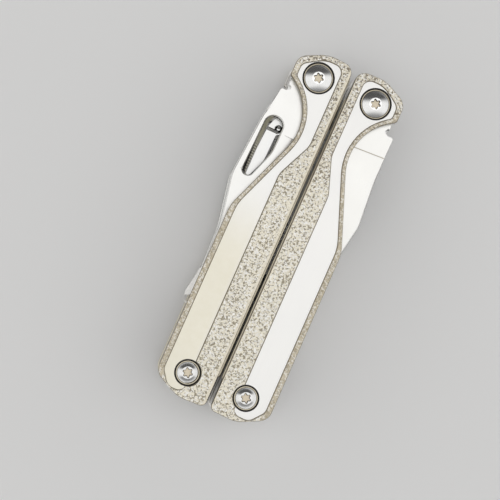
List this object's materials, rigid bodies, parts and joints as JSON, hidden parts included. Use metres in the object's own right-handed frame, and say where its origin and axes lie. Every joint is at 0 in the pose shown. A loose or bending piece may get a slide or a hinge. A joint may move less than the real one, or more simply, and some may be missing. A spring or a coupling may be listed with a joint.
{
  "type": "folding plier multi tool",
  "caption": "Folding pocket plier multi tool shown closed: two titanium-scaled handles, outside-opening blades with a thumb hole, pliers and small tools folded inside.",
  "frame": {"origin": "On the plane of the rear scales' raised border, on the seam between the two closed handles, at the middle of their length", "axes": "+X across the handles to the right when the front scales face the viewer, +Y to the head end that holds the plier bolts, +Z out of the front scales"},
  "size_m": [0.038, 0.1016, 0.0204],
  "materials": {
    "titanium": "bead-blasted titanium with a textured raised border",
    "liner_steel": "satin stainless sheet",
    "frame_steel": "satin stainless sheet",
    "blade_steel": "fine satin stainless blade stock",
    "plier_steel": "bead-blasted stainless casting",
    "bolt_steel": "polished domed stainless",
    "tool_steel": "satin stainless",
    "bit_steel": "dark phosphated tool steel",
    "bronze": "plain bearing bronze"
  },
  "bodies": {
    "left_handle": {"left_front_scale": "titanium", "left_rear_scale": "titanium", "left_front_liner": "liner_steel", "left_rear_liner": "liner_steel", "left_frame": "frame_steel", "left_tail_blocks": "frame_steel", "left_tool_spring": "frame_steel", "left_head_bolt": "bolt_steel", "left_head_nut": "bolt_steel", "left_tail_bolt": "bolt_steel", "left_tail_nut": "bolt_steel", "left_tool_washers": "bronze"},
    "knife": {"knife": "blade_steel"},
    "serrated_knife": {"serrated_knife": "blade_steel"},
    "left_sleeve": {"left_sleeve": "bronze"},
    "jaw_a": {"jaw_a": "plier_steel", "plier_rivet": "plier_steel"},
    "jaw_b": {"jaw_b": "plier_steel"},
    "right_sleeve": {"right_sleeve": "bronze"},
    "right_handle": {"right_front_scale": "titanium", "right_rear_scale": "titanium", "right_front_liner": "liner_steel", "right_rear_liner": "liner_steel", "right_frame": "frame_steel", "right_tail_blocks": "frame_steel", "right_tool_spring": "frame_steel", "right_head_bolt": "bolt_steel", "right_head_nut": "bolt_steel", "right_tail_bolt": "bolt_steel", "right_tail_nut": "bolt_steel", "right_tool_washers": "bronze"},
    "saw": {"saw": "blade_steel"},
    "file": {"file": "blade_steel"},
    "scissors": {"scissor_blade": "tool_steel", "scissor_rivet": "tool_steel"},
    "scissor_arm": {"scissor_arm": "tool_steel", "scissor_spring": "tool_steel"},
    "small_driver": {"small_driver": "tool_steel"},
    "small_bit": {"small_bit": "bit_steel"},
    "large_driver": {"large_driver": "tool_steel", "bit_clip": "tool_steel"},
    "large_bit": {"large_bit": "bit_steel"},
    "opener": {"opener": "tool_steel"},
    "lanyard_ring": {"lanyard_ring": "tool_steel"}
  },
  "joints": [
    {"name": "left_handle_fold", "type": "hinge", "parent": "left_handle", "child": "left_sleeve", "pos_m": [-0.0086, 0.0439, 0], "axis": [0, 0, 1], "range_deg": [0, 170]},
    {"name": "left_tang_turn", "type": "hinge", "parent": "left_sleeve", "child": "jaw_a", "pos_m": [-0.0086, 0.0439, 0], "axis": [0, 0, 1], "range_deg": [0, 15]},
    {"name": "jaw_open", "type": "hinge", "parent": "jaw_a", "child": "jaw_b", "pos_m": [0, 0.0262, 0], "axis": [0, 0, 1], "range_deg": [-30, 0]},
    {"name": "right_tang_turn", "type": "hinge", "parent": "jaw_b", "child": "right_sleeve", "pos_m": [0.0086, 0.0439, 0], "axis": [0, 0, 1], "range_deg": [0, 15]},
    {"name": "right_handle_fold", "type": "hinge", "parent": "right_sleeve", "child": "right_handle", "pos_m": [0.0086, 0.0439, 0], "axis": [0, 0, 1], "range_deg": [0, 170]},
    {"name": "knife_open", "type": "hinge", "parent": "left_handle", "child": "knife", "pos_m": [-0.0086, 0.0439, 0], "axis": [0, 0, 1], "range_deg": [-180, 0]},
    {"name": "serrated_knife_open", "type": "hinge", "parent": "left_handle", "child": "serrated_knife", "pos_m": [-0.0086, 0.0439, 0], "axis": [0, 0, -1], "range_deg": [0, 180]},
    {"name": "saw_open", "type": "hinge", "parent": "right_handle", "child": "saw", "pos_m": [0.0086, 0.0439, 0], "axis": [0, 0, 1], "range_deg": [0, 180]},
    {"name": "file_open", "type": "hinge", "parent": "right_handle", "child": "file", "pos_m": [0.0086, 0.0439, 0], "axis": [0, 0, -1], "range_deg": [-180, 0]},
    {"name": "scissors_swing", "type": "hinge", "parent": "left_handle", "child": "scissors", "pos_m": [-0.0086, -0.0439, 0], "axis": [0, 0, -1], "range_deg": [0, 180]},
    {"name": "scissor_arm_spread", "type": "hinge", "parent": "scissors", "child": "scissor_arm", "pos_m": [-0.0106, -0.0229, 0], "axis": [0, 0, 1], "range_deg": [0, 20]},
    {"name": "small_driver_swing", "type": "hinge", "parent": "left_handle", "child": "small_driver", "pos_m": [-0.0086, -0.0439, 0], "axis": [0, 0, -1], "range_deg": [0, 180]},
    {"name": "small_bit_pull", "type": "slide", "parent": "small_driver", "child": "small_bit", "axis": [0, 1, 0], "range_m": [0, 0.012]},
    {"name": "large_driver_swing", "type": "hinge", "parent": "right_handle", "child": "large_driver", "pos_m": [0.0086, -0.0439, 0], "axis": [0, 0, 1], "range_deg": [0, 180]},
    {"name": "large_bit_pull", "type": "slide", "parent": "large_driver", "child": "large_bit", "axis": [0, 1, 0], "range_m": [0, 0.012]},
    {"name": "opener_swing", "type": "hinge", "parent": "right_handle", "child": "opener", "pos_m": [0.0086, -0.0439, 0], "axis": [0, 0, 1], "range_deg": [0, 180]},
    {"name": "lanyard_ring_swing", "type": "hinge", "parent": "right_handle", "child": "lanyard_ring", "pos_m": [0.0086, -0.0439, 0], "axis": [0, 0, -1], "range_deg": [0, 150]}
  ],
  "couplings": [
    {"joint": "left_tang_turn", "follows": "jaw_open", "ratio": -0.5},
    {"joint": "right_tang_turn", "follows": "jaw_open", "ratio": -0.5},
    {"joint": "scissors_swing", "follows": "left_handle_fold", "ratio": 1},
    {"joint": "small_driver_swing", "follows": "left_handle_fold", "ratio": 0.75},
    {"joint": "scissor_arm_spread", "follows": "left_handle_fold", "ratio": 0.1},
    {"joint": "opener_swing", "follows": "right_handle_fold", "ratio": 1},
    {"joint": "large_driver_swing", "follows": "right_handle_fold", "ratio": 0.8}
  ]
}
